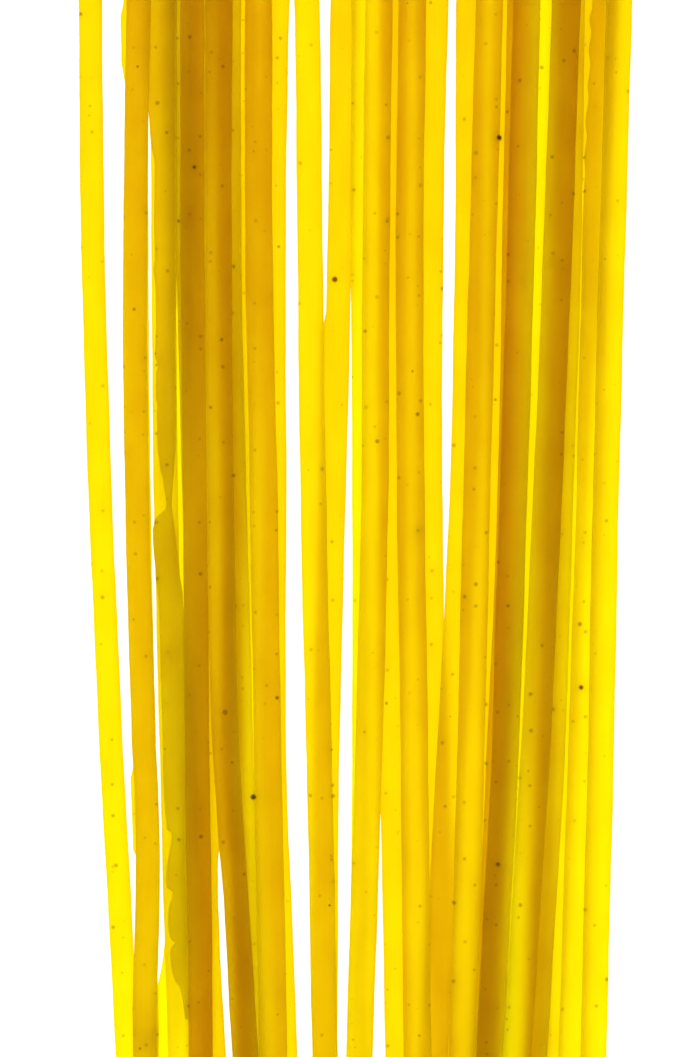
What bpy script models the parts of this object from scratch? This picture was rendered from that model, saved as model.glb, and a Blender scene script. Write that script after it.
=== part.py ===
# Bundle of flat egg pasta ribbons, lying flat with its long way along Y.
# Built in metres, Z up. The bundle rests on z = 0 and its middle is over the origin.
import math
import random

import bmesh
import bpy
import numpy as np
from mathutils import Matrix

MM = 0.001

HALF_LENGTH = 157.5     # half of a full ribbon's length, mm
SINK = 0.22             # how far a ribbon is pressed into the one under it, mm
STEP = 21.0             # spacing of the cross sections along a ribbon, mm
DRAPE_STEP = 7.0        # spacing of the rows where the stack's height is found, mm
DRAPE_SPAN = 26.0       # length over which a stiff ribbon evens out its height, mm
END_UNEVEN = 5.0        # most that a cut end falls short, mm
ACROSS = 9              # support points across a ribbon
UNEVEN_SHEET = 0.011    # steps by which sheets differ in thickness, mm

# Where each ribbon's middle lies across the bundle, at these five heights, in mm
STATIONS = (134.8, 71.0, 7.3, -56.5, -120.3)

# name, width, thickness, middle at each station: from the lowest layer to the top one
RIBBONS = (
    ("left_edge", 6.0, 1.1, (-67.4, -66.7, -64.8, -62.0, -58.6)),
    ("under_a", 6.1, 1.1, (-45.2, -44.1, -46.7, -44.9, -45.2)),
    ("under_b", 6.4, 1.1, (-39.5, -40.8, -39.5, -39.5, -39.3)),
    ("under_c", 5.4, 1.1, (-33.5, -32.3, -30.6, -31.4, -28.2)),
    ("inner_edge", 6.5, 1.1, (-19.9, -20.7, -20.5, -20.6, -18.2)),
    ("under_d", 6.2, 1.1, (-2.9, -3.7, -5.2, -6.8, -7.3)),
    ("pale_a", 4.0, 1.0, (1.7, 1.5, 1.5, 1.5, 0.8)),
    ("pale_b", 6.5, 1.1, (10.1, 9.7, 9.7, 9.8, 11.0)),
    ("pale_c", 6.6, 1.1, (20.1, 19.5, 19.3, 20.5, 22.7)),
    ("under_e", 6.4, 1.1, (38.9, 37.9, 37.1, 35.8, 34.3)),
    ("under_f", 6.6, 1.1, (53.8, 51.8, 49.5, 47.3, 46.7)),
    ("pale_d", 6.6, 1.1, (61.5, 59.1, 55.6, 52.8, 49.8)),
    ("back_a", 6.2, 1.1, (-48.9, -48.5, -48.0, -46.5, -44.7)),
    ("ragged_a", 6.1, 1.2, (-56.0, -55.6, -55.0, -53.7, -53.1)),
    ("back_c", 5.2, 1.1, (-27.7, -27.6, -28.6, -28.2, -27.0)),
    ("back_d", 6.5, 1.1, (42.4, 41.1, 39.9, 37.2, 34.2)),
    ("back_e", 6.9, 1.1, (48.7, 47.1, 45.7, 40.6, 35.4)),
    ("back_f", 6.6, 1.1, (55.6, 54.7, 52.6, 50.4, 46.8)),
    ("ragged_c", 6.0, 1.1, (63.8, 61.1, 59.6, 57.5, 55.4)),
    ("mid_a", 6.4, 1.1, (-32.0, -31.8, -30.5, -29.0, -27.1)),
    ("mid_b", 6.4, 1.1, (-42.9, -42.2, -40.6, -39.2, -36.5)),
    ("ragged_b", 6.1, 1.2, (-47.8, -47.3, -47.2, -45.9, -44.4)),
    ("cross_a", 6.9, 1.2, (29.5, 29.2, 27.8, 24.6, 21.3)),
    ("front_a", 6.1, 1.3, (-54.8, -55.9, -55.4, -53.7, -53.4)),
    ("front_b", 6.1, 1.3, (-41.2, -41.2, -40.6, -40.1, -39.2)),
    ("front_c", 6.8, 1.3, (-34.6, -34.6, -34.0, -32.4, -28.6)),
    ("front_d", 6.9, 1.3, (-24.4, -24.3, -23.1, -22.1, -21.0)),
    ("front_e", 6.5, 1.2, (-11.9, -11.2, -10.3, -8.9, -7.7)),
    ("front_f", 6.9, 1.2, (6.4, 5.6, 5.3, 3.8, 1.8)),
    ("front_g", 7.0, 1.3, (14.9, 14.2, 14.5, 15.4, 16.1)),
    ("front_h", 6.9, 1.3, (34.6, 32.9, 31.3, 29.8, 28.1)),
    ("front_i", 6.9, 1.3, (44.1, 42.6, 40.7, 38.5, 35.2)),
    ("front_j", 7.3, 1.3, (54.1, 51.9, 49.3, 46.3, 42.2)),
    ("right_edge", 6.6, 1.2, (67.5, 65.8, 64.2, 63.0, 61.4)),
)

# Shift of the middle at the upper end, where neighbours cross, mm
CROSSING = {"inner_edge": 2.4, "front_e": -1.6, "pale_a": -0.9}

# Shorter ribbons: the height where one end lies
LOWER_END = {"ragged_b": -125.0}

# Left edge of a ragged ribbon: height, and how far the edge is drawn in, mm
RAGGED = {
    "ragged_a": ((158, 0.4), (134, 0.2), (131, -0.6), (119, -0.5), (113, 0.5), (84, 0.3), (60, 0.6),
                 (10, 0.2), (-60, 0.5), (-64, -0.4), (-82, 0.0), (-84, 0.9), (-158, 0.7)),
    "ragged_b": ((158, -1.4), (112, -1.7), (96, -0.5), (88, 0.0), (44, -0.1), (41.5, 0.5), (38, 0.0),
                 (20, 0.3), (13, 1.6), (5, 2.5), (2, -0.5), (-1, -1.2), (-5, -1.0), (-12, -0.5),
                 (-18, 0.1), (-57, 0.4), (-74, 0.7), (-77, 2.1), (-82, 1.5), (-88, 0.5), (-92, 2.1),
                 (-98, 0.7), (-103, 0.9), (-105.6, 2.8), (-108, 1.0), (-114, 1.7), (-117, 3.2),
                 (-121, 3.9), (-126, 4.5)),
    "ragged_c": ((158, 0.0), (133, 0.1), (130, -0.5), (127, 0.2), (119, 0.3), (113, -0.2), (104, -0.4),
                 (95, -0.2), (86, 0.0), (-158, 0.2)),
    "pale_c": ((158, -0.8), (128, -0.6), (100, -0.2), (71, 0.0), (-158, 0.0)),
    "front_c": ((158, 0.0), (-30, 0.0), (-69, 0.4), (-82, 0.25), (-95, 0.5), (-108, 0.4), (-120, 0.15),
                (-158, 0.15)),
    "under_d": ((158, 0.0), (54, 0.0), (51.5, -0.8), (36, -0.5), (10, 0.0), (-158, 0.0)),
    "pale_a": ((158, -0.4), (80, -0.4), (50, -0.3), (30, 0.0), (-158, 0.0)),
}
# Right edge of a ragged ribbon, drawn in the same way
RAGGED_RIGHT = {
    "ragged_b": ((158, 0.0), (60, 0.9), (48, 1.2), (20, 1.3), (12, 2.0), (6, 2.5), (0, 1.7), (-5, 1.2),
                 (-12, 0.5), (-16, -0.1), (-30, -0.4), (-56, -0.3), (-70, 0.3), (-82, 0.8), (-108, 0.9),
                 (-126, 1.1)),
    "pale_c": ((158, -1.0), (128, -0.7), (100, -0.2), (71, 0.0), (-158, 0.0)),
    "mid_b": ((158, 0.0), (-20, 0.0), (-56, -1.2), (-69, -1.2), (-80, -0.8), (-85, 0.0), (-95, 0.4),
              (-107, 0.4), (-120, 0.2), (-158, 0.0)),
    "back_c": ((158, 0.0), (0, 0.0), (-20, -0.4), (-45, -0.4), (-70, 0.0), (-158, 0.0)),
    "ragged_c": ((158, 0.0), (-60, 0.0), (-110, -0.8), (-158, -0.9)),
}

# Smaller swings to a side on the way down: height, and shift to the right, mm
SWAY = {
    "front_a": ((158, 0.0), (-55, 0.0), (-66, 0.6), (-82, 0.9), (-96, 0.8), (-108, 0.4), (-122, 0.0)),
    "under_a": ((158, 0.0), (-104, 0.0), (-112, -0.9), (-118, -2.2), (-132, -3.2), (-158, -4.6)),
}

PASTA = (0.86, 0.60, 0.09, 1.0)


def smooth_through(values, height):
    """Cubic curve through the five station values; straight beyond the first and the last."""
    slopes = []
    for i in range(len(values)):
        a, b = max(i - 1, 0), min(i + 1, len(values) - 1)
        slopes.append((values[b] - values[a]) / (STATIONS[b] - STATIONS[a]))
    if height >= STATIONS[0]:
        return values[0] + slopes[0] * (height - STATIONS[0])
    if height <= STATIONS[-1]:
        return values[-1] + slopes[-1] * (height - STATIONS[-1])
    i = max(k for k in range(len(STATIONS) - 1) if height <= STATIONS[k])
    span = STATIONS[i + 1] - STATIONS[i]
    t = (height - STATIONS[i]) / span
    first = (2 * t ** 3 - 3 * t ** 2 + 1) * values[i] + (t ** 3 - 2 * t ** 2 + t) * span * slopes[i]
    last = (3 * t ** 2 - 2 * t ** 3) * values[i + 1] + (t ** 3 - t ** 2) * span * slopes[i + 1]
    return first + last


def drawn_in(points, height):
    """How far an edge is drawn in at this height, straight between the given points."""
    heights = [p[0] for p in reversed(points)]
    depths = [p[1] for p in reversed(points)]
    return float(np.interp(height, heights, depths))


def edges_at(ribbon, height):
    """Left and right edge of a ribbon at this height, in mm."""
    name, width, _, middles = ribbon
    middle = smooth_through(middles, height)
    middle += CROSSING.get(name, 0.0) * max(0.0, (height - 125.0) / 32.5) ** 2
    middle += drawn_in(SWAY.get(name, ((0, 0.0),)), height)
    left = middle - width / 2 + drawn_in(RAGGED.get(name, ((0, 0.0),)), height)
    right = middle + width / 2 - drawn_in(RAGGED_RIGHT.get(name, ((0, 0.0),)), height)
    return left, right


def ends_of(name, draw):
    """Upper and lower end of a ribbon: cut, so each falls a little short of the full length."""
    upper = HALF_LENGTH - draw.uniform(0.0, END_UNEVEN)
    lower = -HALF_LENGTH + draw.uniform(0.0, END_UNEVEN)
    return upper, LOWER_END.get(name, lower)


def resting_line(supports):
    """Height and slope of a stiff ribbon laid on these points (offset, height), under its own weight."""
    hull = []
    for x, z in supports:
        while len(hull) > 1:
            (xa, za), (xb, zb) = hull[-2], hull[-1]
            if (zb - za) * (x - xa) > (z - za) * (xb - xa):
                break
            hull.pop()
        hull.append((x, z))
    for (xa, za), (xb, zb) in zip(hull, hull[1:]):
        if xa <= 0.0 <= xb:
            slope = (zb - za) / (xb - xa)
            return za - slope * xa, slope
    return hull[0][1], 0.0


def evened(values, span):
    """Moving average along a ribbon, narrower at its ends."""
    reach = max(1, round(span / DRAPE_STEP / 2))
    out = []
    for i in range(len(values)):
        k = min(reach, i, len(values) - 1 - i)
        out.append(sum(values[i - k:i + k + 1]) / (2 * k + 1))
    return out


class Laid:
    """A ribbon in place: its height over the floor and its roll, along its length."""

    def __init__(self, ribbon, ends, below):
        self.ribbon = ribbon
        # No two sheets are quite alike, so no two faces lie in one plane
        self.thickness = ribbon[2] + UNEVEN_SHEET * ((len(below) * 7) % 11 - 5)
        sink = SINK + UNEVEN_SHEET * ((len(below) * 5) % 7)
        self.upper, self.lower = ends
        count = max(2, math.ceil((self.upper - self.lower) / DRAPE_STEP)) + 1
        self.rows = [self.lower + (self.upper - self.lower) * i / (count - 1) for i in range(count)]
        heights, slopes, floors = [], [], []
        for height in self.rows:
            left, right = edges_at(ribbon, height)
            middle, half = (left + right) / 2, (right - left) / 2
            supports = []
            for k in range(ACROSS):
                offset = half * 0.98 * (2 * k / (ACROSS - 1) - 1)
                top = max([other.top_at(middle + offset, height) for other in below] + [0.0])
                supports.append((offset, max(0.0, top - sink)))
            rest, slope = resting_line(supports)
            heights.append(rest)
            slopes.append(slope)
            floors.append(max(z for _, z in supports) == 0.0)
        heights, slopes = evened(heights, DRAPE_SPAN), evened(slopes, DRAPE_SPAN)
        self.flat = all(floors)
        self.heights = [max(0.0, z) for z in heights]
        self.slopes = [0.0 if z <= 0.0 else s for z, s in zip(heights, slopes)]

    def rest_at(self, height):
        """Height of the underside's middle, and the slope across, at this height."""
        return (float(np.interp(height, self.rows, self.heights)),
                float(np.interp(height, self.rows, self.slopes)))

    def section(self, height):
        """Corners of the cross section: left and right, underside and top, in mm."""
        left, right = edges_at(self.ribbon, height)
        half = (right - left) / 2
        rest, slope = self.rest_at(height)
        low_left, low_right = max(0.0, rest - slope * half), max(0.0, rest + slope * half)
        return left, right, low_left, low_right

    def top_at(self, x, height):
        """Height of the top at this place, or below the floor outside the ribbon."""
        if not self.lower - 1.0 <= height <= self.upper + 1.0:
            return -1.0
        left, right, low_left, low_right = self.section(height)
        if not left - 0.3 <= x <= right + 0.3:
            return -1.0
        part = min(1.0, max(0.0, (x - left) / (right - left)))
        return low_left + (low_right - low_left) * part + self.thickness

    def sections_at(self):
        """Heights of the cross sections: even steps, and each point of a ragged edge."""
        count = math.ceil((self.upper - self.lower) / STEP) + 1
        marks = [self.lower + (self.upper - self.lower) * i / (count - 1) for i in range(count)]
        for table in (RAGGED, RAGGED_RIGHT, SWAY):
            for height, _ in table.get(self.ribbon[0], ()):
                if self.lower + 2.0 < height < self.upper - 2.0:
                    marks = [m for m in marks if abs(m - height) > 2.0] + [float(height)]
        marks += [self.lower, self.upper]
        return sorted(set(marks))


def ribbon_object(laid, collection):
    """Closed mesh of one ribbon, with flat sides and ends."""
    bm = bmesh.new()
    rings = []
    for height in laid.sections_at():
        left, right, low_left, low_right = laid.section(height)
        thick = laid.thickness
        corners = ((left, low_left), (right, low_right), (right, low_right + thick), (left, low_left + thick))
        rings.append([bm.verts.new((x * MM, height * MM, z * MM)) for x, z in corners])
    for a, b in zip(rings, rings[1:]):
        for k in range(4):
            n = (k + 1) % 4
            bm.faces.new((a[k], a[n], b[n], b[k]))
    bm.faces.new(rings[0])
    bm.faces.new(list(reversed(rings[-1])))
    bmesh.ops.triangulate(bm, faces=bm.faces)
    bmesh.ops.recalc_face_normals(bm, faces=bm.faces)
    mesh = bpy.data.meshes.new(laid.ribbon[0])
    bm.to_mesh(mesh)
    bm.free()
    obj = bpy.data.objects.new(laid.ribbon[0], mesh)
    collection.objects.link(obj)
    return obj


def islands(bm):
    """Groups of joined faces."""
    seen, groups = set(), []
    for face in bm.faces:
        if face in seen:
            continue
        group, stack = [], [face]
        seen.add(face)
        while stack:
            here = stack.pop()
            group.append(here)
            for edge in here.edges:
                for other in edge.link_faces:
                    if other not in seen:
                        seen.add(other)
                        stack.append(other)
        groups.append(group)
    return groups


def enclosed(group):
    """Volume inside a closed group of faces; below zero for a hollow."""
    total = 0.0
    for face in group:
        corners = [v.co for v in face.verts]
        for b, c in zip(corners[1:], corners[2:]):
            total += corners[0].dot(b.cross(c)) / 6
    return total


def fuse(objects, name):
    """Joins every ribbon into one solid, then fills sealed hollows and drops loose scraps."""
    base = objects[0]
    base.name = name
    helpers = bpy.data.collections.new("joined")
    bpy.context.scene.collection.children.link(helpers)
    for obj in objects[1:]:
        helpers.objects.link(obj)
        bpy.context.scene.collection.objects.unlink(obj)
    union = base.modifiers.new("fused", "BOOLEAN")
    union.operation = "UNION"
    union.operand_type = "COLLECTION"
    union.collection = helpers
    union.solver = "EXACT"
    bpy.context.view_layer.objects.active = base
    base.select_set(True)
    bpy.ops.object.modifier_apply(modifier=union.name)
    for obj in list(helpers.objects):
        bpy.data.objects.remove(obj, do_unlink=True)
    bpy.data.collections.remove(helpers)
    bm = bmesh.new()
    bm.from_mesh(base.data)
    bmesh.ops.triangulate(bm, faces=bm.faces)
    groups = islands(bm)
    volumes = [enclosed(group) for group in groups]
    kept = volumes.index(max(volumes))
    dropped = [face for i, group in enumerate(groups) if i != kept for face in group]
    bmesh.ops.delete(bm, geom=dropped, context="FACES")
    bmesh.ops.recalc_face_normals(bm, faces=bm.faces)
    bm.to_mesh(base.data)
    bm.free()
    return base


def centre_footprint(obj):
    """Moves the solid so that the middle of its footprint is over the origin and its underside on z = 0."""
    points = np.array([v.co for v in obj.data.vertices])
    low, high = points.min(axis=0), points.max(axis=0)
    obj.data.transform(Matrix.Translation((-(low[0] + high[0]) / 2, -(low[1] + high[1]) / 2, -low[2])))


def pasta_material():
    material = bpy.data.materials.new("egg_pasta")
    material.use_nodes = True
    shader = material.node_tree.nodes["Principled BSDF"]
    shader.inputs["Base Color"].default_value = PASTA
    shader.inputs["Roughness"].default_value = 0.55
    return material


def main():
    for obj in list(bpy.data.objects):
        bpy.data.objects.remove(obj, do_unlink=True)
    draw = random.Random(7)
    laid = []
    for ribbon in RIBBONS:
        laid.append(Laid(ribbon, ends_of(ribbon[0], draw), list(laid)))
    objects = [ribbon_object(one, bpy.context.scene.collection) for one in laid]
    bundle = fuse(objects, "ribbon_bundle")
    centre_footprint(bundle)
    bundle.data.materials.clear()
    bundle.data.materials.append(pasta_material())


main()
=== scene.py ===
import math
import random

import bpy
import numpy as np
from bpy.props import FloatProperty, IntProperty, PointerProperty, StringProperty
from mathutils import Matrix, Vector


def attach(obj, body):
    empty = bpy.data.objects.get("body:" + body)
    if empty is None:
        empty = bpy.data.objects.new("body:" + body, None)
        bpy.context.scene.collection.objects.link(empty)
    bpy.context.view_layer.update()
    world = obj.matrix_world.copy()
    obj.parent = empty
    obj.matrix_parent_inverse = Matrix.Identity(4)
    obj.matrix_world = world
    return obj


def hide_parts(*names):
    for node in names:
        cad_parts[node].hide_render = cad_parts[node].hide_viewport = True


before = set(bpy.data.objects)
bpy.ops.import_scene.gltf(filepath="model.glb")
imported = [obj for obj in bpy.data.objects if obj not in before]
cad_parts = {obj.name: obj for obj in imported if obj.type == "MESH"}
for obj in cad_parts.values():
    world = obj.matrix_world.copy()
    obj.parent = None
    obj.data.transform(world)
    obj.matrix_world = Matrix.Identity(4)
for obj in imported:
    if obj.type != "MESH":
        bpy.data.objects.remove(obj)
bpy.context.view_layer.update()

bl_info = {
    "name": "Egg pasta ribbons",
    "version": (1, 0, 0),
    "blender": (4, 5, 0),
    "location": "3D View > Sidebar > Pasta",
    "description": "A bundle of flat egg pasta ribbons on a lit table",
    "category": "Add Mesh",
}

NODE = "ribbon_bundle"
MM = 0.001
# Camera sensor, and the level at which the picture is measured, in mm
SENSOR_WIDTH = 36.0
RIBBON_LEVEL = 2.0

# Sizes of the bundle, in mm, the same as in the solid that the ribbons replace: half its length, how
# far a ribbon sinks into those below, the steps and the span over which it drapes, how uneven the
# ends are, the points across a ribbon that can rest, and the step between the sheets' thicknesses
HALF_LENGTH = 157.5
SINK = 0.22
DRAPE_STEP = 7.0
DRAPE_SPAN = 26.0
END_UNEVEN = 5.0
ACROSS = 9
UNEVEN_SHEET = 0.011
# A ribbon rests on what lies under this share of its width, within these distances of another
# ribbon's edges and ends, mm
RESTING_SHARE = 0.98
NEAR_EDGE = 0.3
NEAR_END = 1.0
# Rows along a ragged ribbon, how far a cut end is out of square, and the share of a ribbon's
# half length over which its end slants, in mm where they are sizes
RAGGED_STEP = 0.7
END_SLANT = 0.5
SLANT_SHARE = 0.03

# Heights along the bundle at which each ribbon's middle is given, in mm
STATIONS = (134.8, 71.0, 7.3, -56.5, -120.3)

# name, kind, width, thickness, how deep its colour is from the upper end to the lower one, how much
# deeper it is at the right edge than at the left, and its middle at each station: from the lowest
# layer to the top one. The depth is partly the dough's own and partly painted shade and painted light:
# it is set per ribbon to stand in for how much light from behind reaches it, and it is mostly deeper
# towards the upper end as painted shade. The deeper right or left side is painted shade across the ribbon
RIBBONS = (
    ("left_edge", "pale", 6.0, 1.1, (0.60, 0.50, 0.40), 0.0, (-67.4, -66.7, -64.8, -62.0, -58.6)),
    ("under_a", "under", 6.1, 1.1, (0.30, 0.28), 0.0, (-45.2, -44.1, -46.7, -44.9, -45.2)),
    ("under_b", "under", 6.4, 1.1, (0.54, 0.48), 0.0, (-39.5, -40.8, -39.5, -39.5, -39.3)),
    ("under_c", "under", 5.4, 1.1, (0.60, 0.66), 0.0, (-33.5, -32.3, -30.6, -31.4, -28.2)),
    ("inner_edge", "pale", 6.5, 1.1, (0.62, 0.50), 0.0, (-19.9, -20.7, -20.5, -20.6, -18.2)),
    ("under_d", "under", 6.2, 1.1, (0.68, 0.48), 0.0, (-2.9, -3.7, -5.2, -6.8, -7.3)),
    ("pale_a", "pale", 4.0, 1.0, (0.44, 0.34), 0.1, (1.7, 1.5, 1.5, 1.5, 0.8)),
    ("pale_b", "pale", 6.5, 1.1, (0.76, 0.58, 0.54), 0.0, (10.1, 9.7, 9.7, 9.8, 11.0)),
    ("pale_c", "pale", 6.6, 1.1, (0.66, 0.56, 0.56), 0.0, (20.1, 19.5, 19.3, 20.5, 22.7)),
    ("under_e", "under", 6.4, 1.1, (0.62, 0.52), 0.0, (38.9, 37.9, 37.1, 35.8, 34.3)),
    ("under_f", "under", 6.6, 1.1, (0.58, 0.50), 0.0, (53.8, 51.8, 49.5, 47.3, 46.7)),
    ("pale_d", "pale", 6.6, 1.1, (0.70, 0.42, 0.42), 0.0, (61.5, 59.1, 55.6, 52.8, 49.8)),
    ("back_a", "back", 6.2, 1.1, (0.48, 0.34), 0.0, (-48.9, -48.5, -48.0, -46.5, -44.7)),
    ("ragged_a", "ragged", 6.1, 1.2, (0.50, 0.38), 0.0, (-56.0, -55.6, -55.0, -53.7, -53.1)),
    ("back_c", "back", 5.2, 1.1, (0.62, 0.20), 0.0, (-27.7, -27.6, -28.6, -28.2, -27.0)),
    ("back_d", "back", 6.5, 1.1, (0.70, 0.60), -0.1, (42.4, 41.1, 39.9, 37.2, 34.2)),
    ("back_e", "back", 6.9, 1.1, (0.26, 0.18), 0.0, (48.7, 47.1, 45.7, 40.6, 35.4)),
    ("back_f", "back", 6.6, 1.1, (0.50, 0.34, 0.52), -0.3, (55.6, 54.7, 52.6, 50.4, 46.8)),
    ("ragged_c", "ragged", 6.0, 1.1, (0.54, 0.38, 0.44), 0.0, (63.8, 61.1, 59.6, 57.5, 55.4)),
    ("mid_a", "back", 6.4, 1.1, (0.58, 0.42, 0.48), -0.6, (-32.0, -31.8, -30.5, -29.0, -27.1)),
    ("mid_b", "back", 6.4, 1.1, (0.58, 0.42, 0.54), 0.0, (-42.9, -42.2, -40.6, -39.2, -36.5)),
    ("ragged_b", "ragged", 6.1, 1.2, (0.56, 0.36, 0.24), 0.05, (-47.8, -47.3, -47.2, -45.9, -44.4)),
    ("cross_a", "back", 6.9, 1.2, (0.70, 0.56, 0.52), 0.0, (29.5, 29.2, 27.8, 24.6, 21.3)),
    ("front_a", "front", 6.1, 1.3, (0.64, 0.48), 0.0, (-54.8, -55.9, -55.4, -53.7, -53.4)),
    ("front_b", "front", 6.1, 1.3, (0.72, 0.50, 0.84), 0.1, (-41.2, -41.2, -40.6, -40.1, -39.2)),
    ("front_c", "front", 6.8, 1.3, (0.66, 0.56, 0.60), -0.05, (-34.6, -34.6, -34.0, -32.4, -28.6)),
    ("front_d", "front", 6.9, 1.3, (0.76, 0.54, 0.56), 0.0, (-24.4, -24.3, -23.1, -22.1, -21.0)),
    ("front_e", "front", 6.5, 1.2, (0.56, 0.46), 0.0, (-11.9, -11.2, -10.3, -8.9, -7.7)),
    ("front_f", "front", 6.9, 1.2, (0.54, 0.42), 0.25, (6.4, 5.6, 5.3, 3.8, 1.8)),
    ("front_g", "front", 7.0, 1.3, (0.68, 0.52), 0.0, (14.9, 14.2, 14.5, 15.4, 16.1)),
    ("front_h", "front", 6.9, 1.3, (0.60, 0.56), 0.0, (34.6, 32.9, 31.3, 29.8, 28.1)),
    ("front_i", "front", 6.9, 1.3, (0.62, 0.48), -0.5, (44.1, 42.6, 40.7, 38.5, 35.2)),
    ("front_j", "front", 7.3, 1.3, (0.68, 0.36), 0.45, (54.1, 51.9, 49.3, 46.3, 42.2)),
    ("right_edge", "front", 6.6, 1.2, (0.56, 0.38), -0.1, (67.5, 65.8, 64.2, 63.0, 61.4)),
)

# Shift of the middle at the upper end, where neighbours cross above this height, mm
CROSS_ABOVE = 125.0
CROSSING = {"inner_edge": 2.4, "front_e": -1.6, "pale_a": -0.9}

# A shorter ribbon: the height where its lower end lies
LOWER_END = {"ragged_b": -125.0}

# Left edge of a ragged ribbon: height, and how far the edge is drawn in, mm
RAGGED = {
    "ragged_a": ((158, 0.4), (134, 0.2), (131, -0.6), (119, -0.5), (113, 0.5), (84, 0.3), (60, 0.6),
                 (10, 0.2), (-60, 0.5), (-64, -0.4), (-82, 0.0), (-84, 0.9), (-158, 0.7)),
    "ragged_b": ((158, -1.4), (112, -1.7), (98, -0.9), (93, 0.0), (76, -0.2), (69, 0.0), (66, -0.5),
                 (62, 0.1), (52, 0.2), (44, -0.3), (41.5, 0.6), (39.5, 0.0), (33, -0.1), (31.5, 0.4),
                 (30, 0.1), (20, 0.3), (15, 1.0), (13, 1.6), (6, 2.6), (4.7, 2.3), (3.9, 1.0), (2.2, -0.5),
                 (-0.4, -1.2), (-5, -1.0), (-12, -0.5), (-18, 0.1), (-36, 0.2), (-57, 0.4), (-68, 0.4),
                 (-74, 0.7),
                 (-76.8, 0.9), (-77.4, 2.1), (-79, 2.1), (-82, 1.6), (-85, 0.9), (-87, 0.6), (-90, 0.4),
                 (-91.6, 0.6), (-92.4, 2.1), (-94, 1.8), (-97, 0.8), (-100, 0.6), (-103, 0.8), (-104.6, 1.2),
                 (-105.6, 2.8), (-106.6, 1.3), (-108, 1.0), (-111, 1.1), (-113.5, 1.5), (-115.6, 2.2),
                 (-116.4, 3.1), (-118, 3.5), (-120.3, 3.9), (-123, 4.2), (-126, 4.5)),
    "ragged_c": ((158, 0.0), (133, 0.1), (130, -0.5), (127, 0.2), (122, -0.3), (119, 0.3), (113, -0.2),
                 (110, 0.2), (104, -0.4), (100, 0.3), (95, -0.2), (91, 0.2), (86, 0.0), (60, 0.1),
                 (-158, 0.2)),
    "pale_c": ((158, -0.8), (128, -0.6), (100, -0.2), (71, 0.0), (-158, 0.0)),
    "front_c": ((158, 0.0), (-30, 0.0), (-69, 0.4), (-82, 0.25), (-95, 0.5), (-108, 0.4), (-120, 0.15),
                (-158, 0.15)),
    "under_d": ((158, 0.0), (54, 0.0), (51.5, -0.8), (36, -0.5), (10, 0.0), (-158, 0.0)),
    "pale_a": ((158, -0.4), (80, -0.4), (50, -0.3), (30, 0.0), (-158, 0.0)),
}
# Right edge of a ragged ribbon, drawn in the same way
RAGGED_RIGHT = {
    "ragged_b": ((158, 0.0), (60, 0.9), (48, 1.2), (20, 1.3), (12, 2.0), (6, 2.5), (0, 1.7), (-5, 1.2),
                 (-12, 0.5), (-16, -0.1), (-30, -0.4), (-56, -0.3), (-70, 0.3), (-82, 0.8),
                 (-108, 0.9), (-126, 1.1)),
    "pale_c": ((158, -1.0), (128, -0.7), (100, -0.2), (71, 0.0), (-158, 0.0)),
    "mid_b": ((158, 0.0), (-20, 0.0), (-56, -1.2), (-69, -1.2), (-80, -0.8), (-85, 0.0), (-95, 0.4),
              (-107, 0.4), (-120, 0.2), (-158, 0.0)),
    "back_c": ((158, 0.0), (0, 0.0), (-20, -0.4), (-45, -0.4), (-70, 0.0), (-158, 0.0)),
    "ragged_c": ((158, 0.0), (-60, 0.0), (-110, -0.8), (-158, -0.9)),
}

# Smaller swings to a side on the way down: height, and shift to the right, mm
SWAY = {
    "front_a": ((158, 0.0), (-55, 0.0), (-66, 0.6), (-82, 0.9), (-96, 0.8), (-108, 0.4), (-122, 0.0)),
    "under_a": ((158, 0.0), (-104, 0.0), (-112, -0.9), (-118, -2.2), (-132, -3.2), (-158, -4.6)),
}


def smooth_through(values, heights):
    """Cubic curve through the five station values; straight beyond the first and the last."""
    heights = np.asarray(heights, float)
    top_down = np.array(values, float)
    slopes = np.empty(len(values))
    for i in range(len(values)):
        a, b = max(i - 1, 0), min(i + 1, len(values) - 1)
        slopes[i] = (values[b] - values[a]) / (STATIONS[b] - STATIONS[a])
    out = np.where(heights >= STATIONS[0],
                   values[0] + slopes[0] * (heights - STATIONS[0]),
                   values[-1] + slopes[-1] * (heights - STATIONS[-1]))
    for i in range(len(STATIONS) - 1):
        span = STATIONS[i + 1] - STATIONS[i]
        t = (heights - STATIONS[i]) / span
        first = (2 * t ** 3 - 3 * t ** 2 + 1) * top_down[i] + (t ** 3 - 2 * t ** 2 + t) * span * slopes[i]
        last = (3 * t ** 2 - 2 * t ** 3) * top_down[i + 1] + (t ** 3 - t ** 2) * span * slopes[i + 1]
        inside = (heights < STATIONS[i]) & (heights >= STATIONS[i + 1])
        out = np.where(inside, first + last, out)
    return out


def drawn_in(points, heights):
    """How far an edge is drawn in at these heights, straight between the given points."""
    return np.interp(heights, [p[0] for p in reversed(points)], [p[1] for p in reversed(points)])


def waver(seed, heights, size):
    """Small unevenness of a cut edge, as a sum of a few long and short waves."""
    draw = random.Random(seed)
    out = np.zeros(len(heights))
    for length, share in ((60.0, 1.0), (23.0, 0.6), (9.0, 0.35), (4.0, 0.18)):
        out += share * np.sin(2 * math.pi * (heights / (length * draw.uniform(0.8, 1.25)) + draw.random()))
    return out * size


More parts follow.
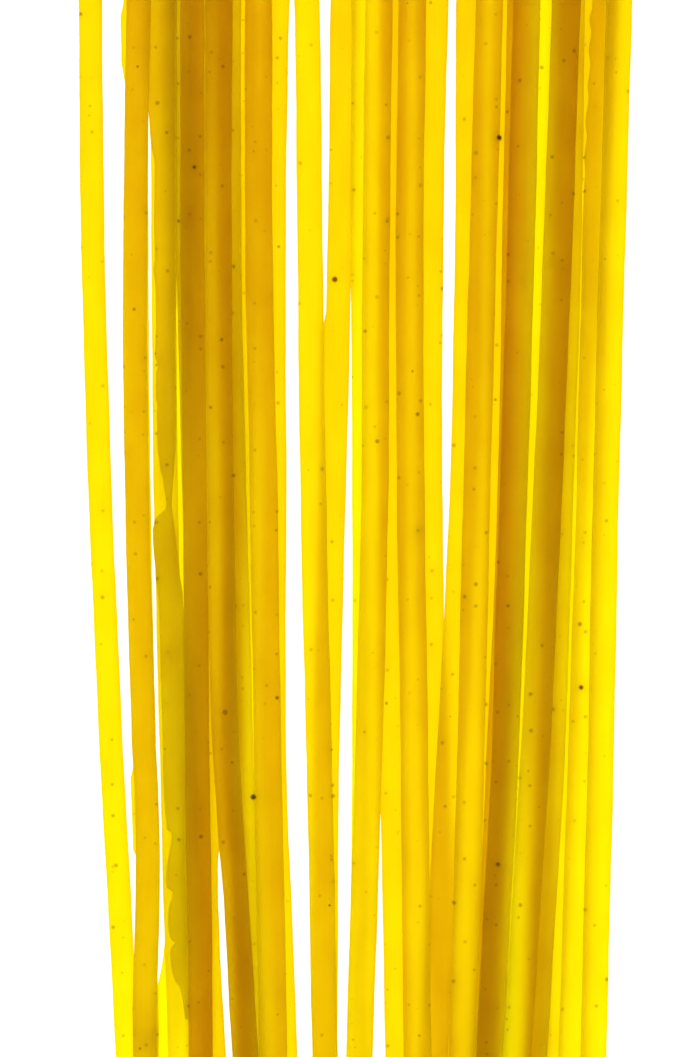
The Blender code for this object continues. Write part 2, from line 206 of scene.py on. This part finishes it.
class Ribbon:
    """A ribbon of the bundle: its edges, and its height and roll once it is laid."""

    def __init__(self, index, row, draw):
        self.index = index
        self.name, self.kind, self.width, thickness, self.depths, self.lean, self.middles = row
        self.thickness = thickness + UNEVEN_SHEET * ((index * 7) % 11 - 5)
        self.sink = SINK + UNEVEN_SHEET * ((index * 5) % 7)
        self.upper = HALF_LENGTH - draw.uniform(0.0, END_UNEVEN)
        lower = -HALF_LENGTH + draw.uniform(0.0, END_UNEVEN)
        self.lower = LOWER_END.get(self.name, lower)

    def edges(self, heights):
        """Left and right edge at these heights."""
        middle = smooth_through(self.middles, heights)
        crossed = np.clip((heights - CROSS_ABOVE) / (HALF_LENGTH - CROSS_ABOVE), 0.0, None) ** 2
        middle = middle + CROSSING.get(self.name, 0.0) * crossed
        middle = middle + drawn_in(SWAY.get(self.name, ((0, 0.0),)), heights)
        left = middle - self.width / 2 + drawn_in(RAGGED.get(self.name, ((0, 0.0),)), heights)
        right = middle + self.width / 2 - drawn_in(RAGGED_RIGHT.get(self.name, ((0, 0.0),)), heights)
        return left, right

    def depth(self, places, heights):
        """How deep the colour is at these places across and along the ribbon: the dough's own depth together
            with painted shade and painted light, mostly deeper towards the upper end and towards one side.
        """
        left, right = self.edges(heights)
        marks = np.linspace(-HALF_LENGTH, HALF_LENGTH, len(self.depths))
        along = np.interp(heights, marks, self.depths[::-1])
        return along + self.lean * (np.clip((places - left) / (right - left), 0.0, 1.0) - 0.5)

    def underside(self, heights):
        """Height of the underside at the left and the right edge."""
        left, right = self.edges(heights)
        half = (right - left) / 2
        rest = np.interp(heights, self.rows, self.rests)
        slope = np.interp(heights, self.rows, self.slopes)
        return np.maximum(0.0, rest - slope * half), np.maximum(0.0, rest + slope * half)

    def lay_on(self, below):
        """Finds the height and the roll of the ribbon on those already laid."""
        count = max(2, math.ceil((self.upper - self.lower) / DRAPE_STEP)) + 1
        self.rows = np.linspace(self.lower, self.upper, count)
        left, right = self.edges(self.rows)
        middle, half = (left + right) / 2, (right - left) / 2
        offsets = half[:, None] * RESTING_SHARE * np.linspace(-1.0, 1.0, ACROSS)[None, :]
        places = middle[:, None] + offsets
        tops = np.zeros_like(places)
        for other in below:
            near = (self.rows >= other.lower - NEAR_END) & (self.rows <= other.upper + NEAR_END)
            far_left, far_right = other.edges(self.rows)
            low_left, low_right = other.underside(self.rows)
            part = np.clip((places - far_left[:, None]) / (far_right - far_left)[:, None], 0.0, 1.0)
            top = low_left[:, None] + (low_right - low_left)[:, None] * part + other.thickness
            over = (places >= far_left[:, None] - NEAR_EDGE) & (places <= far_right[:, None] + NEAR_EDGE)
            over = over & near[:, None]
            tops = np.where(over, np.maximum(tops, top), tops)
        supports = np.maximum(0.0, tops - self.sink)
        found = [resting_line(offsets[i], supports[i]) for i in range(count)]
        rests = evened([f[0] for f in found], DRAPE_SPAN)
        slopes = evened([f[1] for f in found], DRAPE_SPAN)
        self.rests = np.maximum(0.0, rests)
        self.slopes = np.where(np.array(rests) <= 0.0, 0.0, slopes)


def resting_line(offsets, heights):
    """Height and slope of a stiff ribbon laid on these points, under its own weight."""
    hull = []
    for x, z in zip(offsets, heights):
        while len(hull) > 1:
            (xa, za), (xb, zb) = hull[-2], hull[-1]
            if (zb - za) * (x - xa) > (z - za) * (xb - xa):
                break
            hull.pop()
        hull.append((x, z))
    for (xa, za), (xb, zb) in zip(hull, hull[1:]):
        if xa <= 0.0 <= xb:
            slope = (zb - za) / (xb - xa)
            return za - slope * xa, slope
    return hull[0][1], 0.0


def evened(values, span):
    """Moving average along a ribbon, narrower at its ends."""
    reach = max(1, round(span / DRAPE_STEP / 2))
    out = []
    for i in range(len(values)):
        k = min(reach, i, len(values) - 1 - i)
        out.append(sum(values[i - k:i + k + 1]) / (2 * k + 1))
    return np.array(out)


def lay_bundle():
    """Every ribbon, laid from the lowest layer up, and the middle of their footprint."""
    draw = random.Random(7)
    laid = []
    for index, row in enumerate(RIBBONS):
        ribbon = Ribbon(index, row, draw)
        ribbon.lay_on(list(laid))
        laid.append(ribbon)
    heights = np.linspace(-HALF_LENGTH, HALF_LENGTH, 400)
    lefts, rights = [], []
    for ribbon in laid:
        inside = heights[(heights >= ribbon.lower) & (heights <= ribbon.upper)]
        inside = np.concatenate([inside, [ribbon.lower, ribbon.upper]])
        left, right = ribbon.edges(inside)
        lefts.append(left.min())
        rights.append(right.max())
    middle_x = (min(lefts) + max(rights)) / 2
    middle_y = (min(r.lower for r in laid) + max(r.upper for r in laid)) / 2
    return laid, (middle_x, middle_y)


BUNDLE, MIDDLE = lay_bundle()


def linear(hex_colour):
    """A colour written as sRGB hex, as the linear values that Blender keeps."""
    out = []
    for k in (0, 2, 4):
        value = int(hex_colour[k:k + 2], 16) / 255
        out.append(value / 12.92 if value <= 0.04045 else ((value + 0.055) / 1.055) ** 2.4)
    return (*out, 1.0)


def add_node(tree, kind, settings=None, inputs=None):
    """A node with its settings, and with its inputs by name or number: a value, or a socket to link."""
    node = tree.nodes.new(kind)
    for name, value in (settings or {}).items():
        setattr(node, name, value)
    for name, value in (inputs or {}).items():
        if isinstance(value, bpy.types.NodeSocket):
            tree.links.new(value, node.inputs[name])
        else:
            node.inputs[name].default_value = value
    return node


def deselect_all():
    """Leaves nothing selected, in object mode."""
    if bpy.context.mode != "OBJECT":
        bpy.ops.object.mode_set(mode="OBJECT")
    bpy.ops.object.select_all(action="DESELECT")


def make_active(obj):
    """Selects one object alone and makes it the active one."""
    deselect_all()
    obj.select_set(True)
    bpy.context.view_layer.objects.active = obj


def model_ribbon(ribbon, sizes, material):
    """One ribbon: a grid drawn out to its edges, given the sheet's thickness and softened cut edges."""
    step = sizes.row_step * 1.0
    if ribbon.kind == "ragged":
        step = min(step, RAGGED_STEP)
    rows = max(2, round((ribbon.upper - ribbon.lower) / step))
    deselect_all()
    bpy.ops.mesh.primitive_grid_add(x_subdivisions=sizes.faces_across, y_subdivisions=rows, size=2.0,
                                    calc_uvs=False, location=(0, 0, 0))
    obj = bpy.context.active_object
    obj.name = ribbon.name
    points = np.empty(len(obj.data.vertices) * 3)
    obj.data.vertices.foreach_get("co", points)
    points = points.reshape(-1, 3)
    across, along = (points[:, 0] + 1) / 2, (points[:, 1] + 1) / 2
    heights = ribbon.lower + (ribbon.upper - ribbon.lower) * along
    left, right = ribbon.edges(heights)
    uneven = sizes.edge_waver / MM
    left = left + waver(ribbon.name + "left", heights, uneven)
    right = right + waver(ribbon.name + "right", heights, uneven)
    low_left, low_right = ribbon.underside(heights)
    x = left + (right - left) * across
    z = low_left + (low_right - low_left) * across
    # Cut ends are a little out of square
    slant = END_SLANT * math.sin(ribbon.index * 2.4)
    near_end = np.clip((np.abs(2 * along - 1) - (1 - SLANT_SHARE)) / SLANT_SHARE, 0.0, 1.0)
    y = heights - slant * near_end * (across - 0.5)
    points[:, 0] = (x - MIDDLE[0]) * MM
    points[:, 1] = (y - MIDDLE[1]) * MM
    points[:, 2] = z * MM
    obj.data.vertices.foreach_set("co", points.ravel())
    obj.data.update()

    thick = obj.modifiers.new("sheet", "SOLIDIFY")
    thick.thickness = ribbon.thickness * MM
    thick.offset = 1.0
    soft = obj.modifiers.new("cut edges", "BEVEL")
    soft.width = sizes.edge_round
    soft.segments = 2
    soft.limit_method = "ANGLE"
    soft.angle_limit = math.radians(50)
    for modifier in list(obj.modifiers):
        if bpy.ops.object.modifier_apply(modifier=modifier.name) != {"FINISHED"}:
            raise RuntimeError(f"The modifier {modifier.name} of {ribbon.name} can't be applied")
    bpy.ops.object.shade_smooth_by_angle(angle=math.radians(60))
    # Painted shade along the cut edges: the colour is deeper in a narrow band at each edge
    points = np.empty(len(obj.data.vertices) * 3)
    obj.data.vertices.foreach_get("co", points)
    x, heights = points[0::3] / MM + MIDDLE[0], points[1::3] / MM + MIDDLE[1]
    left, right = ribbon.edges(heights)
    edge_shade = np.clip(1.0 - np.minimum(x - left, right - x) / sizes.edge_shade_width * MM, 0.0, 1.0)
    deep_with_edge_shade = ribbon.depth(x, heights) + sizes.edge_shade_depth * edge_shade
    obj.data.attributes.new("depth", "FLOAT", "POINT").data.foreach_set("value", deep_with_edge_shade)
    obj.data.materials.clear()
    obj.data.materials.append(material)
    return obj


def join_as(objects, name):
    """Joins the ribbons of one kind into one piece, which stands for the solid's ribbons."""
    make_active(objects[0])
    for obj in objects:
        obj.select_set(True)
    if len(objects) > 1:
        bpy.ops.object.join()
    piece = bpy.context.active_object
    piece.name = name
    piece.data.name = name
    bpy.ops.object.mode_set(mode="EDIT")
    bpy.ops.mesh.select_all(action="SELECT")
    bpy.ops.mesh.normals_make_consistent(inside=False)
    bpy.ops.object.mode_set(mode="OBJECT")
    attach(piece, "root")
    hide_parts(NODE)
    return piece


def dough_material(colours):
    """Dried egg dough.

    A rolled sheet of egg and flour, cut and dried. It is a dense, hazy yellow that light from behind
    passes through, so one layer glows and each further layer is a deeper orange brown.
    """
    material = bpy.data.materials.new("egg_dough")
    material.use_nodes = True
    tree = material.node_tree
    tree.nodes.clear()
    place = add_node(tree, "ShaderNodeTexCoord").outputs["Object"]

    # Flour and egg mixed unevenly: soft patches some 14 mm long, drawn out along the rolling direction
    drawn = add_node(tree, "ShaderNodeMapping", inputs={"Vector": place, "Scale": (1.0, 0.3, 1.0)}).outputs[0]
    patches = add_node(tree, "ShaderNodeTexNoise", inputs={
        "Vector": drawn, "Scale": 1 / (4.0 * MM), "Detail": 1.0, "Roughness": 0.55}).outputs[0]
    # Rolling streaks about 0.8 mm apart that run the length of the ribbon
    lined = add_node(tree, "ShaderNodeMapping", inputs={
        "Vector": place, "Scale": (1.0, 0.02, 0.2)}).outputs[0]
    streaks = add_node(tree, "ShaderNodeTexNoise", inputs={
        "Vector": lined, "Scale": 1 / (0.8 * MM), "Detail": 1.0, "Roughness": 0.5}).outputs[0]
    mottle = add_node(tree, "ShaderNodeMix", {"data_type": "FLOAT"}, {
        0: 0.35, 2: patches, 3: streaks}).outputs[0]
    mottle = add_node(tree, "ShaderNodeMapRange", inputs={
        0: mottle, 1: 0.32, 2: 0.68, 3: 0.0, 4: 1.0}).outputs[0]

    # Bran flecks: soft specks of up to about 1 mm, most of them faint and some dark brown
    flecks = None
    for spacing, largest, least, strength, soft, seed in ((2.8, 0.75, 0.3, 0.6, 0.5, 0.0),
                                                          (7.0, 0.95, 0.55, 1.0, 0.4, 40.0)):
        moved = add_node(tree, "ShaderNodeMapping", inputs={
            "Vector": place, "Location": (seed * MM, 3.1 * seed * MM, 0.0),
            "Scale": (1.0, 1.0, 0.3)}).outputs[0]
        grains = add_node(tree, "ShaderNodeTexVoronoi", inputs={
            "Vector": moved, "Scale": 1 / (spacing * MM)})
        drawn_by = add_node(tree, "ShaderNodeSeparateColor", inputs={0: grains.outputs["Color"]})
        radius = add_node(tree, "ShaderNodeMapRange", inputs={
            0: drawn_by.outputs[0], 1: least, 2: 1.0, 3: 0.0, 4: largest / spacing}).outputs[0]
        inside = add_node(tree, "ShaderNodeMath", {"operation": "SUBTRACT"}, {
            0: radius, 1: grains.outputs["Distance"]}).outputs[0]
        speck = add_node(tree, "ShaderNodeMapRange", inputs={
            0: inside, 1: 0.0, 2: soft / spacing, 3: 0.0, 4: strength}).outputs[0]
        faded = add_node(tree, "ShaderNodeMapRange", inputs={
            0: drawn_by.outputs[1], 1: 0.0, 2: 1.0, 3: 0.4, 4: 1.0}).outputs[0]
        speck = add_node(tree, "ShaderNodeMath", {"operation": "MULTIPLY"}, {0: speck, 1: faded}).outputs[0]
        if flecks is None:
            flecks = speck
        else:
            flecks = add_node(tree, "ShaderNodeMath", {"operation": "MAXIMUM"}, {
                0: flecks, 1: speck}).outputs[0]

    lit = add_node(tree, "ShaderNodeMix", {"data_type": "RGBA"}, {
        0: mottle, 6: linear(colours.lit), 7: linear(colours.lit_deep)}).outputs[2]
    lit = add_node(tree, "ShaderNodeMix", {"data_type": "RGBA"}, {
        0: flecks, 6: lit, 7: linear(colours.bran)}).outputs[2]

    # The sheet was rolled unevenly, so each ribbon's dough is clearer or deeper, and patchy. The depth it
    #     # carries also holds painted shade and painted light: the upper ends and one side are darker, there
    #     is a
    #     # band along the cut edges, and a depth is set per ribbon for how much light from behind reaches it
    depth = add_node(tree, "ShaderNodeAttribute", {"attribute_name": "depth"}).outputs["Fac"]
    depth = add_node(tree, "ShaderNodeMath", {"operation": "MULTIPLY_ADD"}, {
        0: mottle, 1: colours.patchiness, 2: depth}).outputs[0]
    deepness_and_shade = add_node(tree, "ShaderNodeMapRange", inputs={
        0: depth, 1: 0.3, 2: 0.9, 3: 0.0, 4: 1.0}).outputs[0]
    through = add_node(tree, "ShaderNodeMix", {"data_type": "RGBA"}, {
        0: deepness_and_shade, 6: linear(colours.through_clear), 7: linear(colours.through_deep)}).outputs[2]
    through = add_node(tree, "ShaderNodeMix", {"data_type": "RGBA"}, {
        0: flecks, 6: through, 7: linear(colours.bran_through)}).outputs[2]

    # The dried surface is satin, with the fine grain of semolina, about 0.25 mm
    grain = add_node(tree, "ShaderNodeTexNoise", inputs={
        "Vector": place, "Scale": 1 / (0.25 * MM), "Detail": 0.0}).outputs[0]
    rough = add_node(tree, "ShaderNodeMapRange", inputs={
        0: grain, 1: 0.3, 2: 0.7, 3: 0.5, 4: 0.66}).outputs[0]
    bump = add_node(tree, "ShaderNodeBump", inputs={
        "Height": grain, "Strength": 0.25, "Distance": 0.03 * MM}).outputs[0]
    surface = add_node(tree, "ShaderNodeBsdfPrincipled", inputs={
        "Base Color": lit, "Roughness": rough, "Normal": bump, "IOR": 1.45, "Specular IOR Level": 0.2})
    passed = add_node(tree, "ShaderNodeBsdfTranslucent", inputs={"Color": through})
    mixed = add_node(tree, "ShaderNodeMixShader", inputs={
        0: colours.through_share, 1: surface.outputs[0], 2: passed.outputs[0]})
    add_node(tree, "ShaderNodeOutputMaterial", inputs={"Surface": mixed.outputs[0]})
    return material


def egg_dough():
    """The dough, made once."""
    return bpy.data.materials.get("egg_dough") or dough_material(bpy.context.scene.pasta_dough)


class PastaRibbonSizes(bpy.types.PropertyGroup):
    row_step: FloatProperty(name="Row step", description="Spacing of the rows along a ribbon, in mm",
                            default=3.0, min=0.5, max=20.0)
    faces_across: IntProperty(name="Faces across", description="Faces across a ribbon",
                              default=6, min=2, max=24)
    edge_round: FloatProperty(name="Edge rounding", description="Width of the softened cut edge",
                              default=0.28 * MM, unit="LENGTH")
    edge_waver: FloatProperty(name="Edge waver", description="Unevenness of the cut edges",
                              default=0.05 * MM, unit="LENGTH")
    # Width and strength of the painted shade along the cut edges, a band of deeper colour
    edge_shade_width: FloatProperty(name="Edge shade width", description="Width of the denser dough along a cut",
                                default=0.3 * MM, unit="LENGTH")
    edge_shade_depth: FloatProperty(name="Edge shade depth", description="How much deeper in colour a cut edge is",
                                 default=0.05, min=0.0, max=2.0)


class PastaDough(bpy.types.PropertyGroup):
    lit: StringProperty(name="Lit", description="Colour of the dough in light from in front, sRGB hex",
                        default="F4B821")
    lit_deep: StringProperty(name="Lit, deep", description="Its darker patches, sRGB hex", default="E2A31A")
    through_clear: StringProperty(name="Through, clear", description="Light passed by a face of thin dough",
                                  default="FDFB20")
    through_deep: StringProperty(name="Through, deep", description="Light passed by a face of thick dough",
                                 default="F2DC20")
    bran: StringProperty(name="Bran", description="Colour of the bran flecks, sRGB hex", default="5A2A0C")
    bran_through: StringProperty(name="Bran, through", description="Light passed by a bran fleck, sRGB hex",
                                 default="6A3410")
    through_share: FloatProperty(name="Through share", description="Share of the light that passes through",
                                 default=0.9, min=0.0, max=1.0, subtype="FACTOR")
    patchiness: FloatProperty(name="Patchiness", description="How much deeper the deep patches are",
                              default=0.1, min=0.0, max=1.0)


class PastaStage(bpy.types.PropertyGroup):
    glow: FloatProperty(name="Table glow", description="Brightness of the lit table",
                        default=1.0, min=0.0, max=20.0)
    room: FloatProperty(name="Room light", description="Brightness of the soft light around",
                        default=0.3, min=0.0, max=10.0)
    soft_box: FloatProperty(name="Soft box", description="Power of the soft box, in W",
                            default=3.0, min=0.0, max=100.0)
    lens: FloatProperty(name="Lens", description="Focal length of the camera, in mm", default=100.0)
    frame_height: FloatProperty(name="Frame height", description="Height of the picture at the ribbons",
                                default=0.2696, unit="LENGTH")
    frame_x: FloatProperty(name="Frame middle", description="Middle of the picture, across the bundle",
                           default=-1.02 * MM, unit="LENGTH")


def make_kind(kind, name):
    """Models every ribbon of one kind and joins them into one piece."""
    sizes = bpy.context.scene.pasta_ribbon_sizes
    made = [model_ribbon(ribbon, sizes, egg_dough()) for ribbon in BUNDLE if ribbon.kind == kind]
    if not made:
        raise RuntimeError(f"The bundle has no {kind} ribbon")
    return join_as(made, name)


class PASTA_OT_under_ribbons(bpy.types.Operator):
    """Adds the lowest, darkest ribbons, which show only through those above"""
    bl_idname = "pasta.under_ribbons"
    bl_label = "Under ribbons"

    def execute(self, context):
        make_kind("under", "under_ribbons")
        return {"FINISHED"}


class PASTA_OT_pale_ribbons(bpy.types.Operator):
    """Adds the thin, pale ribbons that glow in one layer"""
    bl_idname = "pasta.pale_ribbons"
    bl_label = "Pale ribbons"

    def execute(self, context):
        make_kind("pale", "pale_ribbons")
        return {"FINISHED"}


class PASTA_OT_back_ribbons(bpy.types.Operator):
    """Adds the ribbons of the middle layers"""
    bl_idname = "pasta.back_ribbons"
    bl_label = "Back ribbons"

    def execute(self, context):
        make_kind("back", "back_ribbons")
        return {"FINISHED"}


class PASTA_OT_ragged_ribbons(bpy.types.Operator):
    """Adds the ribbons cut at the sheet's ragged border"""
    bl_idname = "pasta.ragged_ribbons"
    bl_label = "Ragged ribbons"

    def execute(self, context):
        make_kind("ragged", "ragged_ribbons")
        return {"FINISHED"}


class PASTA_OT_front_ribbons(bpy.types.Operator):
    """Adds the top ribbons, whose edges are sharp"""
    bl_idname = "pasta.front_ribbons"
    bl_label = "Front ribbons"

    def execute(self, context):
        make_kind("front", "front_ribbons")
        return {"FINISHED"}


class PASTA_OT_stage(bpy.types.Operator):
    """Adds the lit table, the soft light and the camera"""
    bl_idname = "pasta.stage"
    bl_label = "Stage"

    def execute(self, context):
        stage = context.scene.pasta_stage
        if stage.lens <= 0.0 or stage.frame_height <= 0.0:
            raise RuntimeError("The camera needs a lens and a frame height above zero")
        # Opal table top, lit evenly from inside, so the ribbons are seen in light from behind
        deselect_all()
        bpy.ops.mesh.primitive_plane_add(size=6.0, location=(0, 0, -0.0003))
        table = context.active_object
        table.name = "lit_table"
        material = bpy.data.materials.new("opal_acrylic")
        material.use_nodes = True
        shader = material.node_tree.nodes["Principled BSDF"]
        shader.inputs["Base Color"].default_value = linear("F4F4F2")
        shader.inputs["Roughness"].default_value = 0.6
        shader.inputs["Emission Color"].default_value = (1.0, 1.0, 1.0, 1.0)
        shader.inputs["Emission Strength"].default_value = stage.glow
        # Bounced light finds so wide a table and room by itself, and renders quicker so
        material.cycles.emission_sampling = "NONE"
        table.data.materials.append(material)

        world = bpy.data.worlds.new("soft_room")
        world.use_nodes = True
        background = world.node_tree.nodes["Background"]
        background.inputs["Color"].default_value = linear("FFFDF8")
        background.inputs["Strength"].default_value = stage.room
        world.cycles.sampling_method = "NONE"
        context.scene.world = world

        deselect_all()
        bpy.ops.object.light_add(type="AREA", location=(-0.55, 0.35, 0.9))
        lamp = context.active_object
        lamp.name = "soft_box"
        lamp.data.size = 0.8
        lamp.data.energy = stage.soft_box
        aim = Vector((0, 0, 0)) - lamp.location
        lamp.rotation_euler = aim.to_track_quat("-Z", "Y").to_euler()

        deselect_all()
        bpy.ops.object.camera_add(rotation=(0, 0, 0))
        camera = context.active_object
        camera.data.lens = stage.lens
        camera.data.sensor_width = SENSOR_WIDTH
        camera.data.clip_start = 0.01
        distance = stage.frame_height / SENSOR_WIDTH * stage.lens
        # The picture's height is measured level with the ribbons, a little above the table
        camera.location = (stage.frame_x - MIDDLE[0] * MM, -MIDDLE[1] * MM, distance + RIBBON_LEVEL * MM)
        context.scene.camera = camera

        scene = context.scene
        scene.view_settings.view_transform = "Standard"
        scene.view_settings.look = "None"
        scene.cycles.max_bounces = 11
        scene.cycles.diffuse_bounces = 3
        scene.cycles.transmission_bounces = 10
        return {"FINISHED"}


class PASTA_PT_panel(bpy.types.Panel):
    """Lists the pasta's operators and sizes"""
    bl_label = "Egg pasta ribbons"
    bl_idname = "PASTA_PT_panel"
    bl_space_type = "VIEW_3D"
    bl_region_type = "UI"
    bl_category = "Pasta"

    def draw(self, context):
        for operator in OPERATORS:
            self.layout.operator(operator.bl_idname)
        for group in (context.scene.pasta_ribbon_sizes, context.scene.pasta_dough, context.scene.pasta_stage):
            box = self.layout.box()
            for name in group.__annotations__:
                box.prop(group, name)


OPERATORS = (
    PASTA_OT_under_ribbons,
    PASTA_OT_pale_ribbons,
    PASTA_OT_back_ribbons,
    PASTA_OT_ragged_ribbons,
    PASTA_OT_front_ribbons,
    PASTA_OT_stage,
)
GROUPS = (PastaRibbonSizes, PastaDough, PastaStage)


def register():
    """Registers the classes, and puts their sizes and colours on the scene."""
    for cls in GROUPS + OPERATORS + (PASTA_PT_panel,):
        bpy.utils.register_class(cls)
    bpy.types.Scene.pasta_ribbon_sizes = PointerProperty(type=PastaRibbonSizes)
    bpy.types.Scene.pasta_dough = PointerProperty(type=PastaDough)
    bpy.types.Scene.pasta_stage = PointerProperty(type=PastaStage)


def unregister():
    """Takes away what register added."""
    del bpy.types.Scene.pasta_stage
    del bpy.types.Scene.pasta_dough
    del bpy.types.Scene.pasta_ribbon_sizes
    for cls in reversed(GROUPS + OPERATORS + (PASTA_PT_panel,)):
        bpy.utils.unregister_class(cls)


def main():
    """Makes the pasta and its stage."""
    register()
    bpy.ops.pasta.under_ribbons()
    bpy.ops.pasta.pale_ribbons()
    bpy.ops.pasta.back_ribbons()
    bpy.ops.pasta.ragged_ribbons()
    bpy.ops.pasta.front_ribbons()
    bpy.ops.pasta.stage()


if __name__ == "__main__":
    main()
